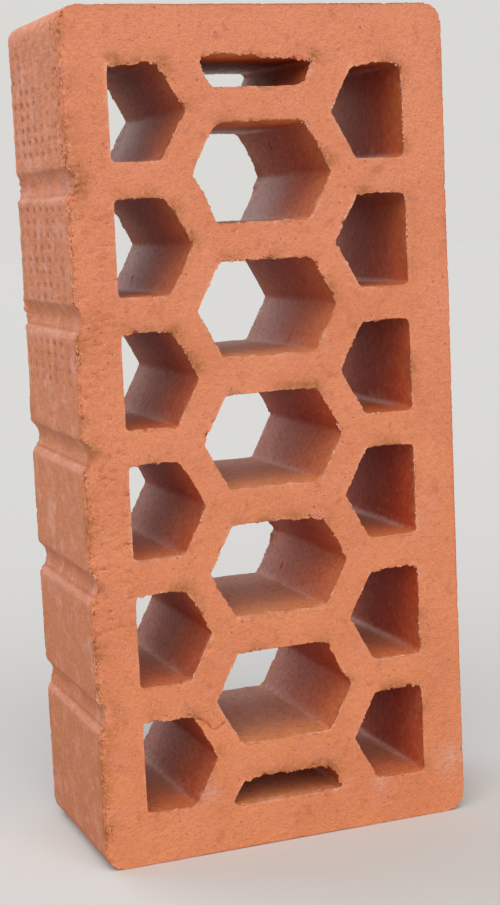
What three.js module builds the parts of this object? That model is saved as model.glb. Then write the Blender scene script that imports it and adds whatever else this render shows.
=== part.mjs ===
// A perforated clay facing brick, extruded and wire-cut, standing on its small end.
// Millimetres, +Z up. X is the brick's width, Y its height as laid (the direction of
// the perforation) and Z its length. The origin is at the middle of the lower end.
import * as THREE from "three";

// Overall size of the fired brick.
const brickLength = 228;
const brickWidth = 108;
const brickHeight = 54;
const cornerRadius = 5; // on the four long edges of the extruded section

// The clay left between and around the holes.
const faceWall = 12.6; // from a side hole to the stretcher face beside it
const endWall = 14.6; // from the first and last side hole to the brick's end
const slotWall = 13.4; // from an end slot to the brick's end
const sideWeb = 9.75; // between two side holes
const middleWeb = 10.4; // between two holes of the middle column
const slantWeb = 8.9; // between a side hole's slanted flank and a hexagon's

// The holes: two side columns of five-sided holes, and a middle column of hexagons
// that sits half a step lower and ends in a shallow slot at both ends.
const sideRows = 6;
const sideHoleFlat = 14; // the straight part of a side hole, before its flanks
const flankRun = 6.8; // how far a slanted flank runs sideways, on every hole
const holeFillet = 1;
const slotFillet = 1;

// The die's cores are not quite centred, so two of the columns sit a little low.
const middleDrop = 0.8;
const plainSideDrop = 1.2;

// Keying grooves down one stretcher face, about one at each web between side holes.
const grooveWidth = 7.8;
const grooveDepth = 2.1;
const grooveLip = 0.6; // the rounding of a groove's two edges
const grooveStep = 35.1;
const grooveDrop = 0.8;

const segmentsPerArc = 3;

// Sizes that follow from the ones above.
const halfWidth = brickWidth / 2;
const middleRows = sideRows - 1;
const cellHeight = (brickLength - 2 * endWall - (sideRows - 1) * sideWeb) / sideRows;
const halfCell = cellHeight / 2;
const sideStep = cellHeight + sideWeb;
const middleStep = cellHeight + middleWeb;
const middleLength = middleRows * middleStep + middleWeb;
const slotHeight = (brickLength - middleLength) / 2 - slotWall;

// A flank's direction, and from it how far the hexagon's tip is from the stretcher face
// when the slanted web has its thickness.
const flankLength = Math.hypot(flankRun, halfCell);
const sideHoleTip = faceWall + sideHoleFlat + flankRun;
const tipStagger = (slantWeb * flankLength - (sideStep / 2) * flankRun) / halfCell;
const hexTip = halfWidth - sideHoleTip - tipStagger;
const hexFlat = hexTip - flankRun;
const slotMouth = hexFlat + (flankRun * slotHeight) / halfCell;

// The height of a row's centre, counting from the lower end, before any drop.
const rowHeight = (row, rows, step) => brickLength / 2 + (row - (rows - 1) / 2) * step;

// A closed path round the points with every corner rounded by an arc.
function roundedPath(points, radius) {
  const path = new THREE.Path();
  const corners = points.map(([x, z]) => new THREE.Vector2(x, z));
  corners.forEach((corner, i) => {
    const before = corners[(i + corners.length - 1) % corners.length];
    const after = corners[(i + 1) % corners.length];
    const back = before.clone().sub(corner);
    const ahead = after.clone().sub(corner);
    const shortest = Math.min(back.length(), ahead.length());
    back.normalize();
    ahead.normalize();
    const halfAngle = Math.acos(back.dot(ahead)) / 2;
    const trim = Math.min(radius / Math.tan(halfAngle), 0.45 * shortest);
    const arcRadius = trim * Math.tan(halfAngle);
    const middle = back.clone().add(ahead).normalize();
    const centre = corner.clone().addScaledVector(middle, arcRadius / Math.sin(halfAngle));
    const from = corner.clone().addScaledVector(back, trim).sub(centre).angle();
    const to = corner.clone().addScaledVector(ahead, trim).sub(centre).angle();
    const clockwise = back.cross(ahead) > 0;
    path.absarc(centre.x, centre.y, arcRadius, from, to, clockwise);
  });
  path.closePath();
  return path;
}

// One hexagonal hole of the middle column, lying flat side up.
function hexagonHole(row) {
  const z = rowHeight(row, middleRows, middleStep) - middleDrop;
  return roundedPath(
    [
      [-hexFlat, z - halfCell],
      [hexFlat, z - halfCell],
      [hexTip, z],
      [hexFlat, z + halfCell],
      [-hexFlat, z + halfCell],
      [-hexTip, z],
    ],
    holeFillet,
  );
}

// One five-sided hole: square towards its stretcher face, pointed towards the middle.
// side is -1 for the grooved face and 1 for the plain one.
function sideHole(side, row) {
  const drop = side > 0 ? plainSideDrop : 0;
  const z = rowHeight(row, sideRows, sideStep) - drop;
  const outer = side * (halfWidth - faceWall);
  const shoulder = side * (halfWidth - faceWall - sideHoleFlat);
  const tip = side * (halfWidth - sideHoleTip);
  return roundedPath(
    [
      [outer, z - halfCell],
      [outer, z + halfCell],
      [shoulder, z + halfCell],
      [tip, z],
      [shoulder, z - halfCell],
    ],
    holeFillet,
  );
}

// The shallow slot at an end: the same hexagon, cut off where the end wall begins.
// end is -1 for the lower end of the brick and 1 for the upper one.
function endSlot(end) {
  const outer = brickLength / 2 - middleDrop + end * (brickLength / 2 - slotWall);
  const inner = outer - end * slotHeight;
  return roundedPath(
    [
      [-slotMouth, outer],
      [slotMouth, outer],
      [hexFlat, inner],
      [-hexFlat, inner],
    ],
    slotFillet,
  );
}

// One groove, drawn downwards on the left side of the section: a rounded edge, the
// cove, and a rounded edge again. Each edge's arc touches both the face and the cove.
function addGroove(shape, z) {
  const coveRadius = (grooveWidth ** 2 / 4 + grooveDepth ** 2) / (2 * grooveDepth);
  const coveX = -halfWidth + grooveDepth - coveRadius;
  const lipX = -halfWidth + grooveLip;
  const reach = coveRadius + grooveLip;
  const turn = Math.acos((lipX - coveX) / reach);
  const lipZ = reach * Math.sin(turn);
  shape.absarc(lipX, z + lipZ, grooveLip, Math.PI, Math.PI + turn, false);
  shape.absarc(coveX, z, coveRadius, turn, -turn, true);
  shape.absarc(lipX, z - lipZ, grooveLip, Math.PI - turn, Math.PI, false);
}

// The outline of the extruded section, with the grooves down its left side.
function outline() {
  const shape = new THREE.Shape();
  const quarter = Math.PI / 2;
  const right = halfWidth - cornerRadius;
  const top = brickLength - cornerRadius;
  shape.absarc(right, cornerRadius, cornerRadius, -quarter, 0, false);
  shape.absarc(right, top, cornerRadius, 0, quarter, false);
  shape.absarc(-right, top, cornerRadius, quarter, 2 * quarter, false);
  const grooves = sideRows - 1;
  for (let row = grooves - 1; row >= 0; row--) {
    addGroove(shape, rowHeight(row, grooves, grooveStep) - grooveDrop);
  }
  shape.absarc(-right, cornerRadius, cornerRadius, 2 * quarter, 3 * quarter, false);
  shape.closePath();
  return shape;
}

// The section with its holes, drawn out along the perforation.
function brickGeometry() {
  const section = outline();
  for (let row = 0; row < sideRows; row++) {
    section.holes.push(sideHole(-1, row), sideHole(1, row));
  }
  for (let row = 0; row < middleRows; row++) {
    section.holes.push(hexagonHole(row));
  }
  section.holes.push(endSlot(-1), endSlot(1));
  const geometry = new THREE.ExtrudeGeometry(section, {
    depth: brickHeight,
    bevelEnabled: false,
    curveSegments: segmentsPerArc,
  });
  geometry.rotateX(Math.PI / 2);
  geometry.translate(0, brickHeight / 2, 0);
  return geometry;
}

const firedClay = new THREE.MeshStandardMaterial({
  color: 0xd98560,
  roughness: 0.9,
  metalness: 0,
});

const brick = new THREE.Mesh(brickGeometry(), firedClay);
brick.name = "brick";

const part = new THREE.Group();
part.add(brick);

export default part;
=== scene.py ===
# %% [markdown]
# # A perforated clay brick and its finish
# A facing brick starts as a column of stiff clay pushed through a die. The die gives it
# the outline, the grooves and the holes, all running one way. A taut wire then cuts the
# column into bricks, and the kiln turns the clay orange. So the brick has two kinds of
# surface. The skins slid along steel: they are smooth, dense and a little pink. The two
# cut faces were torn by the wire: they are grainy, orange, and ragged where the wire ran
# off the clay into a hole.
#
# The frame holds the brick as one plain solid at its real size. Here a copy of that solid
# gets the marks of the die, the wire and the kiln, and a clay that is procedural all over.

# %% Load the frame
import math

import bmesh
import bpy
import numpy as np
from mathutils import Euler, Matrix, Vector, kdtree, noise


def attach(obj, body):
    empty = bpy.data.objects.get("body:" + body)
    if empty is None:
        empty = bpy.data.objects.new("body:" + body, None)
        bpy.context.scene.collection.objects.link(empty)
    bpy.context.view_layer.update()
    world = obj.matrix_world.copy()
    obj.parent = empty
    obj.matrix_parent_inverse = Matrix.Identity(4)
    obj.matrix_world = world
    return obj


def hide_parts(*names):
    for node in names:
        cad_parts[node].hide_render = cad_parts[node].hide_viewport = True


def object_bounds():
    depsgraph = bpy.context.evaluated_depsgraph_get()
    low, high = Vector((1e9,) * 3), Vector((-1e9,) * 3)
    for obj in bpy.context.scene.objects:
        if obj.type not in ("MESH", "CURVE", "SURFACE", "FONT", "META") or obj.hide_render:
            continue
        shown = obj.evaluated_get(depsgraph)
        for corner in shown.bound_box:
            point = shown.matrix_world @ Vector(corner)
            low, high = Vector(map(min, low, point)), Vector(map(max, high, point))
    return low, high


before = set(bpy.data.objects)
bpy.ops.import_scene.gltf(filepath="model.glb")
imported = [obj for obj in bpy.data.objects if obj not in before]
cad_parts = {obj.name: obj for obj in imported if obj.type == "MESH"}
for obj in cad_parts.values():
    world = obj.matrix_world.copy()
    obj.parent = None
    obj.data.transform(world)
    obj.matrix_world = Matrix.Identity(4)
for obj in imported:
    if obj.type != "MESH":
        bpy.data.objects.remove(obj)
cad_low, cad_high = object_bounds()
MM = 0.001
width, height, length = (cad_high - cad_low) / MM
half_width, half_height = width / 2, height / 2
print(f"the brick is {width:.0f} wide, {height:.0f} high and {length:.0f} long, in mm")

# %% [markdown]
# ## The camera
# The brick stands on its small end. The camera looks at it from the left and slightly
# downwards, from so near that the upright lines lean. It is placed first, so that each
# later step can be looked at as soon as it is made.

# %% Place the camera
CAMERA_PLACE_MM = (-173.9, -468.9, 176.3)
CAMERA_TURN_DEGREES = (81.99, 2.63, -21.02)
LENS_MM = 70.5
NEAREST_SEEN = 0.01

bpy.ops.object.select_all(action="DESELECT")
bpy.ops.object.camera_add(
    location=[c * MM for c in CAMERA_PLACE_MM],
    rotation=[math.radians(a) for a in CAMERA_TURN_DEGREES],
)
camera = bpy.context.active_object
camera.data.lens = LENS_MM
camera.data.clip_start = NEAREST_SEEN
bpy.context.scene.camera = camera
print("camera", [round(c, 3) for c in camera.location], "lens", camera.data.lens)

# %% [markdown]
# ## The body
# Tearing, chipping and dragging happen at about a millimetre, so the body needs a mesh
# that is that fine everywhere, hole walls too. Subdividing the solid would give long thin
# faces between the holes. A voxel remesh gives even squares instead, whatever the outline,
# and it also softens each edge by a hair, as clay is. The solid's own mesh is loose
# triangles, so a copy is merged first. An operator acts on everything that is selected,
# so a helper deselects all the rest.

# %% Copy and merge the solid
MERGE_GAP = 1e-6


def select_only(*things):
    """Selects these, and makes the first one active."""
    bpy.ops.object.select_all(action="DESELECT")
    for thing in things:
        thing.select_set(True)
    bpy.context.view_layer.objects.active = things[0]


select_only(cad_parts["brick"])
bpy.ops.object.duplicate()
brick = bpy.context.active_object
brick.name = brick.data.name = "fired_brick"
brick.parent = None

bpy.ops.object.mode_set(mode="EDIT")
bpy.ops.mesh.select_all(action="SELECT")
bpy.ops.mesh.remove_doubles(threshold=MERGE_GAP)
bpy.ops.mesh.normals_make_consistent(inside=False)
bpy.ops.object.mode_set(mode="OBJECT")
print("merged copy:", len(brick.data.vertices), "vertices")

# %% [markdown]
# ## Where the wire met an edge
# Each mark of the wire depends on the nearest rim: how far it is, and which way the clay
# ends there. Rims picked by hand would be wrong as soon as the solid changed. A rim is an
# edge of the merged copy between a cut face and a wall, so the rims are read from the
# copy and sampled every quarter of a millimetre. The holes run straight through, so the
# front's rims stand for the back's too.
#
# The wire ran down and to the left. Where it left the clay, at the top and the right of a
# hole and along the grooved side, it dragged a burr with it. Where it entered clay again,
# at the left and the bottom of a hole, it left a crisp edge with a few crumbs.

# %% Sample the rims
RIM_STEP = 0.25
ARC_FACET = 1.2  # a shorter edge is part of a rounded corner
WALL_TILT = 0.5  # a wall's normal has a smaller part than this along the perforation
ON_CUT_FACE = 1e-5  # metres
OUTLINE_BAND = 6.5  # a rim this near the brick's outside belongs to its outline
WIRE_WAY = np.array([-0.6, -0.8])


def sample_rims(mesh):
    """Points (x, z) on the rims in mm, the way out of the clay there, and if it is an arc."""
    form = bmesh.new()
    form.from_mesh(mesh)
    points, outwards, arcs = [], [], []
    front = -half_height * MM
    for edge in form.edges:
        a, b = (v.co for v in edge.verts)
        walls = [f for f in edge.link_faces if abs(f.normal.y) < WALL_TILT]
        if len(walls) != 1 or max(abs(a.y - front), abs(b.y - front)) > ON_CUT_FACE:
            continue
        run = (b - a).length / MM
        count = max(1, round(run / RIM_STEP))
        for step in range(count):
            point = a.lerp(b, (step + 0.5) / count) / MM
            points.append((point.x, point.z))
            outwards.append((walls[0].normal.x, walls[0].normal.z))
            arcs.append(run < ARC_FACET)
    form.free()
    return np.array(points), np.array(outwards), np.array(arcs)


rim_points, rim_outwards, rim_is_arc = sample_rims(brick.data)
rim_is_outline = (np.abs(rim_points[:, 0]) > half_width - OUTLINE_BAND) | (
    np.abs(rim_points[:, 1] - length / 2) > length / 2 - OUTLINE_BAND
)
rim_exit = np.clip(rim_outwards @ WIRE_WAY, 0, 1)
rim_tree = kdtree.KDTree(len(rim_points))
for index, (x, z) in enumerate(rim_points):
    rim_tree.insert((x, 0.0, z), index)
rim_tree.balance()
print(len(rim_points), "rim samples,", int(rim_is_outline.sum()), "on the outline")

# %% [markdown]
# The corners where the wire left a hole were torn most. Each rim sample gets a number for
# how near such a corner is. At the upper end the clay was stiffer, and there even a corner
# that the wire only brushed was torn.

# %% Find the torn corners
CORNER_REACH = 2.4
CORNER_EXIT, STIFF_CORNER_EXIT = 0.6, 0.3
STIFF_FROM_Z = 205


def fade(gap, reach, power=2):
    """1 where the gap is none, and falling to 0 past this reach."""
    return np.exp(-((gap / reach) ** power))


rim_corner = np.zeros(len(rim_points))
stiff = rim_points[:, 1] > STIFF_FROM_Z
in_corner = rim_is_arc & ~rim_is_outline
in_corner &= (rim_exit > CORNER_EXIT) | ((rim_exit > STIFF_CORNER_EXIT) & stiff)
for spot in rim_points[in_corner]:
    gap = np.hypot(*(rim_points - spot).T)
    rim_corner = np.maximum(rim_corner, fade(gap, CORNER_REACH))
print(int((rim_corner > 0.5).sum()), "rim samples near torn corners")

# %% [markdown]
# ## Crumbs and burrs
# The burrs are flakes of clay that still hang on a rim, and the crumbs are grains that
# stuck to it. Each is one small ball, modelled once, then flattened, turned and copied
# along the rims. They overlap the body. A Boolean would join each of them with its own
# sharp seam, but the remesh melts them all into one closed skin.

# %% Model one grain
bpy.ops.object.select_all(action="DESELECT")
bpy.ops.mesh.primitive_ico_sphere_add(subdivisions=1, radius=1)
grain = bpy.context.active_object
grain_points = np.array([v.co for v in grain.data.vertices])
grain_faces = np.array([f.vertices[:] for f in grain.data.polygons])
bpy.data.objects.remove(grain)
print("a grain has", len(grain_faces), "faces")

# %% [markdown]
# Thousands of small objects would be slow. So a copy is only an array of the ball's
# points, sized along its rim, out of the clay and through the brick, made lumpy and
# tilted by chance. One mesh takes all the copies at the end.

# %% Lay grains on a rim
GRAIN_TILT, GRAIN_LUMPINESS = 0.35, 0.12
chance = np.random.default_rng(7)


def grains_at(centres, alongs, outs, sizes):
    """Grains at (x, y, z), with half sizes along the rim, out of the clay, through the brick."""
    placed = []
    for centre, along, out, size in zip(centres, alongs, outs, sizes):
        axes = np.array([along * size[0], out * size[1], np.array([0, size[2], 0])])
        tilt = np.array(Euler(chance.normal(0, GRAIN_TILT, 3)).to_matrix())
        lumpy = grain_points * chance.normal(1, GRAIN_LUMPINESS, grain_points.shape)
        placed.append(centre + lumpy @ tilt.T @ axes)
    return placed


def ways_at(rim):
    """The directions out of the clay and along the rim, at these rim samples."""
    nothing = np.zeros(len(rim))
    out = np.column_stack([rim_outwards[rim, 0], nothing, rim_outwards[rim, 1]])
    along = np.column_stack([-out[:, 2], nothing, out[:, 0]])
    return out, along


print("grains tilt by about", round(math.degrees(GRAIN_TILT)), "degrees")

# %% Copy grains along the rims
BURR_THICKNESS = (0.28, 0.42)
BURR_DEPTH = 0.4
hole_rim = ~rim_is_outline
grooved_rim = rim_is_outline & (rim_outwards[:, 0] < -0.7)
BURRS = [
    # rims, grains in front and at the back, half size, out of the clay, depth behind the cut
    (hole_rim & (rim_exit > 0.5), (70, 30), (0.35, 0.8), 0.0, (0.1, 0.6)),
    (hole_rim & (rim_outwards[:, 1] > 0.3), (24, 24), (0.3, 0.42), -0.15, (-0.2, 0.0)),
    (grooved_rim, (60, 6), (0.3, 0.7), -0.3, (-0.1, 0.4)),
]


def join_grains(name, grains):
    """One mesh object made of many grains, given as arrays of points in mm."""
    faces = [grain_faces + i * len(grain_points) for i in range(len(grains))]
    mesh = bpy.data.meshes.new(name)
    mesh.from_pydata(
        (np.concatenate(grains) * MM).tolist(), [], np.concatenate(faces).tolist()
    )
    made = bpy.data.objects.new(name, mesh)
    bpy.context.collection.objects.link(made)
    return made


def wire_grains(side):
    """Burrs and crumbs for one cut face. side is -1 at the front and 1 at the back."""
    made = []
    for allowed, counts, size_range, reach, depth_range in BURRS:
        count = counts[0] if side < 0 else counts[1]
        chosen = chance.choice(np.flatnonzero(allowed), count)
        out, along = ways_at(chosen)
        run = chance.uniform(*size_range, count)
        thick = np.minimum(run, chance.uniform(*BURR_THICKNESS, count))
        sizes = np.column_stack([run, thick, np.minimum(run, BURR_DEPTH)])
        depth = chance.uniform(*depth_range, count)
        at = rim_points[chosen]
        centres = np.column_stack([at[:, 0], side * (half_height - depth), at[:, 1]])
        made += grains_at(centres + out * reach, along, out, sizes)
    return made


clumps = wire_grains(-1) + wire_grains(1)
burrs = join_grains("burrs", clumps)
select_only(brick, burrs)
bpy.ops.object.join()
print(len(clumps), "grains joined to the body")

# %% [markdown]
# The remesh fills the body and the grains with small cubes and draws one skin round them
# all, so no seam is left where a burr meets its rim. A cube is half a millimetre, the size
# of a coarse grain of the clay.

# %% Remesh the body and its grains as one skin
VOXEL_MM = 0.5


def apply_modifier(thing, kind, **settings):
    """Adds one modifier to a piece, sets it and applies it."""
    select_only(thing)
    bpy.ops.object.modifier_add(type=kind)
    modifier = thing.modifiers[-1]
    for name, value in settings.items():
        setattr(modifier, name, value)
    bpy.ops.object.modifier_apply(modifier=modifier.name)


apply_modifier(brick, "REMESH", mode="VOXEL", voxel_size=VOXEL_MM * MM)
print("after the remesh:", len(brick.data.polygons), "faces")

# %% [markdown]
# The torn rims, the roller's dimples and the lips of the grooves are only a few voxels
# wide, and the skin that carries them needs finer faces. Three helpers tell where that
# is: how far a point is from a nick, from a groove and from a rim. The nicks are short
# scratches in the hole walls, and the last five of them, end to end, are one crack beside
# the lowest hole.

# %% List the nicks
NICKS = [
    # from (x, y, z) to (x, y, z)
    ((14.8, 5.4, 193.4), (16.1, 6.7, 191.1)),
    ((14.2, -5.0, 138.1), (13.5, -5.2, 136.9)),
    ((15.7, 11.6, 70.0), (14.8, 11.5, 68.3)),
    ((-25.5, 13.1, 157.2), (-26.2, 11.7, 155.8)),
    ((-27.2, -27.0, 39.0), (-24.6, -27.0, 38.1)),
    ((-24.6, -27.0, 38.1), (-22.6, -27.0, 36.2)),
    ((-22.6, -27.0, 36.2), (-21.9, -27.0, 34.9)),
    ((-21.9, -27.0, 34.9), (-20.3, -27.0, 34.7)),
    ((-20.3, -27.0, 34.7), (-18.2, -27.0, 36.2)),
]
FAR_AWAY = 99.0


def nick_gap(at):
    """The distance from each point to the nearest nick, in mm."""
    nearest = np.full(len(at), FAR_AWAY)
    for start, end in NICKS:
        start, run = np.array(start), np.subtract(end, start)
        share = np.clip((at - start) @ run / (run @ run), 0, 1)
        foot = start + share[:, None] * run
        nearest = np.minimum(nearest, np.linalg.norm(at - foot, axis=1))
    return nearest


print("nicks and pieces of the crack:", len(NICKS))

# %% Place the grooves and look up rims
GROOVE_STEP = 35.1
GROOVE_DROP = 0.8
groove_middle = length / 2 - GROOVE_DROP
groove_spots = [groove_middle + GROOVE_STEP * row for row in (-2, -1, 0, 1, 2)]


def from_groove(z):
    """The height above the nearest groove's middle, negative below it."""
    gaps = np.array([z - spot for spot in groove_spots])
    return gaps[np.abs(gaps).argmin(axis=0), np.arange(len(z))]


def nearest_rim(at):
    """The nearest rim sample of each point, and its distance in mm."""
    found = [rim_tree.find((x, 0.0, z)) for x, z in at[:, [0, 2]].tolist()]
    return np.array([f[1] for f in found]), np.array([f[2] for f in found])


print("grooves at heights of", [round(float(spot), 1) for spot in groove_spots], "mm")

# %% [markdown]
# The faces are picked in code, by place and by normal, as box select would pick them by
# hand, and subdivided once. A finer voxel all over would give four times the faces.

# %% Refine the rims, the grooved skin and the nicks
NICK_ZONE, RIM_ZONE = 1.2, 1.4
STIPPLE_FROM_Z = 128.0
ARRIS_ZONE = 6.0
GROOVE_ZONE = 6.0
SKIN_DEEPEST = 2.6 - half_width  # the grooved skin reaches in to this x
SKIN_TILT = -0.3  # and its normals lean at least this far to the left


def refine(mesh):
    """Cuts the faces that carry fine marks in four. Returns how many: skin, and rims."""
    count = len(mesh.polygons)
    centres, normals = np.empty(count * 3), np.empty(count * 3)
    mesh.polygons.foreach_get("center", centres)
    mesh.polygons.foreach_get("normal", normals)
    centres = centres.reshape(-1, 3) / MM
    x, y, z = centres.T
    fine_skin = (normals.reshape(-1, 3)[:, 0] < SKIN_TILT) & (x < SKIN_DEEPEST)
    fine_skin &= (
        (z > STIPPLE_FROM_Z)
        | (y < ARRIS_ZONE - half_height)
        | (np.abs(from_groove(z)) < GROOVE_ZONE)
    )
    at_rim = np.abs(y) > half_height - RIM_ZONE
    candidates = np.flatnonzero(at_rim)
    at_rim[candidates] = nearest_rim(centres[candidates])[1] < RIM_ZONE
    at_rim |= nick_gap(centres) < NICK_ZONE
    bpy.ops.object.mode_set(mode="EDIT")
    bpy.ops.mesh.select_mode(type="FACE")
    bpy.ops.mesh.select_all(action="DESELECT")
    bpy.ops.object.mode_set(mode="OBJECT")
    mesh.polygons.foreach_set("select", fine_skin | at_rim)
    bpy.ops.object.mode_set(mode="EDIT")
    bpy.ops.mesh.subdivide(number_cuts=1)
    bpy.ops.object.mode_set(mode="OBJECT")
    return int(fine_skin.sum()), int(at_rim.sum())


print("faces refined on the skin, and at rims and nicks:", refine(brick.data))

# %% [markdown]
# ## Reading and moving the skin
# The relief could be sculpted with brushes, but code gives the same brick each time:
# every point of the skin is read into one array, each pass below moves points, and the
# array is written back once. Everything is in millimetres, with the piece's own axes.
# Perlin noise from mathutils gives the uneven strength that hand and machine leave. Each
# pass has noise seeds of its own, so that no two passes rise and fall together.

# %% Read the skin
CUT_SKIN = 1.5  # points deeper than this are never part of a cut face
SEED_SHIFT = 17.3


def read_points(mesh):
    """The mesh's points in mm, one row for each."""
    flat = np.empty(len(mesh.vertices) * 3)
    mesh.vertices.foreach_get("co", flat)
    return flat.reshape(-1, 3) / MM


def read_normals(mesh):
    """The way out of the clay at each point."""
    flat = np.empty(len(mesh.vertices) * 3)
    mesh.vertex_normals.foreach_get("vector", flat)
    return flat.reshape(-1, 3)


def uneven(points, size, seed):
    """Smooth noise from about -1 to 1, with lumps of about this size in mm."""
    shifted = points / size + seed * SEED_SHIFT
    return np.array([noise.noise(p) for p in shifted.tolist()])


def ramp(values, low, high):
    """0 below low, 1 above high, and smooth between."""
    t = np.clip((values - low) / (high - low), 0, 1)
    return t * t * (3 - 2 * t)


points = read_points(brick.data)
normals = read_normals(brick.data)
side = np.sign(points[:, 1])
depth = half_height - np.abs(points[:, 1])
on_cut = ramp(np.abs(normals[:, 1]), 0.5, 0.85) * (depth < CUT_SKIN)
moved = np.zeros_like(points)
print(len(points), "points,", int((on_cut > 0.5).sum()), "on the cut faces")

# %% [markdown]
# ### The rims
# Where the wire left the clay, the rim is torn: it waves, and small pointed flakes hang
# over the hole. To move a whole stretch of rim together, each point near a rim looks up
# its rim sample, and the noise is read there and not at the point. Noise that is folded
# over at zero has sharp crests, which makes the points of the flakes.

# %% Find each point's rim
RIM_REACH = 3.5
SLOT_FROM_MIDDLE, SLOT_HALF_WIDTH = 88, 20
BACK_APART = 40  # keeps the noise of the two cut faces apart

near = np.flatnonzero(depth < RIM_REACH)
rim_index, rim_distance = nearest_rim(points[near])
close = rim_distance < RIM_REACH
near, rim_index, rim_distance = near[close], rim_index[close], rim_distance[close]
rim_depth = depth[near]
out_x, out_z = rim_outwards[rim_index].T
is_outline = rim_is_outline[rim_index]
is_front = side[near] < 0
crumbly = is_outline & (out_x < -0.7)
rim_spot = np.column_stack(
    [rim_points[rim_index, 0], BACK_APART * side[near], rim_points[rim_index, 1]]
)
leaving = rim_exit[rim_index] * np.where(is_outline, 0.0, 1.0)
crisp = np.where(~is_outline & (out_x > 0.9), 0.25, 1.0)
slot_rim = np.abs(rim_points[rim_index, 1] - length / 2) > SLOT_FROM_MIDDLE
slot_rim &= np.abs(rim_points[rim_index, 0]) < SLOT_HALF_WIDTH
print("rim points:", len(near), "of them round the slots:", int(slot_rim.sum()))

# %% [markdown]
# Each hole was torn as hard as its clay was stiff: the upper end's most, and the slots'
# most of all. One wave would look like a saw, so the tear is a sum of waves, from a
# pencil's width down to a grain. It dies away within a millimetre or so.

# %% Tear the rims
BACK_HARDNESS = 0.3  # the back face tore less
DEEPEST_TEAR, LONGEST_TEAR = -0.8, 0.9
CORNER_TEAR = 0.8

long_wave = uneven(rim_spot, 7.0, 1)
short_wave = uneven(rim_spot, 2.6, 2)
grit_wave = uneven(rim_spot, 0.9, 4)
fine_wave = uneven(rim_spot, 0.5, 16)
flake = np.clip(1 - 3.0 * np.abs(uneven(rim_spot, 1.7, 3)), 0, 1)
flake *= ramp(uneven(rim_spot, 5.0, 14), 0.0, 0.4)

hard = 0.5 + 0.55 * uneven(rim_spot, 40.0, 15)
hard += 0.5 * ramp(rim_spot[:, 2], 160, 210)
hard = np.where(slot_rim, 1.4, np.clip(hard, 0.25, 1.0))
hard = np.where(is_front, hard, BACK_HARDNESS * hard)

tear = 0.02 + 0.42 * long_wave + 0.36 * short_wave + 0.36 * grit_wave
tear += 0.22 * fine_wave + 0.5 * flake
tear = leaving * hard * np.clip(tear, DEEPEST_TEAR, LONGEST_TEAR)
tear += np.maximum(leaving, 0.4) * CORNER_TEAR * hard * rim_corner[rim_index]
tear += crisp * (1 - leaving) * (0.10 * grit_wave + 0.08 * fine_wave)


def push_out(amount, shape):
    """Moves the points near a rim out of the clay by this amount, or in if negative."""
    moved[near, 0] += out_x * amount * shape
    moved[near, 2] += out_z * amount * shape


push_out(tear, fade(rim_distance, 1.4, 1.5) * fade(rim_depth, 0.9))
print("longest flake", round(float(tear.max()), 2))

# %% [markdown]
# The cut face rolls inwards at a rim that the wire left, because the wire pulled the clay
# along. Every rim has lost a chip here and there, and the grooved side's own edge, where
# the wire ran out of the brick, is crumbly all along.

# %% Roll and chip the rims
CHIPS_FROM = 0.33  # the noise above which a chip is missing
BACK_CHIPS = 0.3
ARRIS_CHIPS = 0.35  # on the brick's other long edges

roll = leaving * hard * np.clip(0.25 + 0.6 * long_wave, 0.02, 0.6)
roll_shape = fade(rim_distance, 1.2, 1) * fade(rim_depth, 1.2, 1)
moved[near, 1] -= side[near] * roll * roll_shape

chip_noise = uneven(rim_spot, 1.9, 5)
chip = np.clip(chip_noise - CHIPS_FROM, 0, 1) * (1.3 + 0.6 * leaving)
chip = np.where(crumbly & is_front, np.clip(chip_noise + 0.1, 0, 1) * 1.1, chip)
chip *= np.where(is_outline & ~crumbly, ARRIS_CHIPS, 1.0) * np.where(is_front, 1.0, BACK_CHIPS)
chip *= crisp
chip_shape = fade(rim_distance, 0.8) * fade(rim_depth, 0.8)
push_out(-chip, chip_shape)
moved[near, 1] -= side[near] * 0.8 * chip * chip_shape
print("chipped points:", int((chip * chip_shape > 0.1).sum()))
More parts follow.
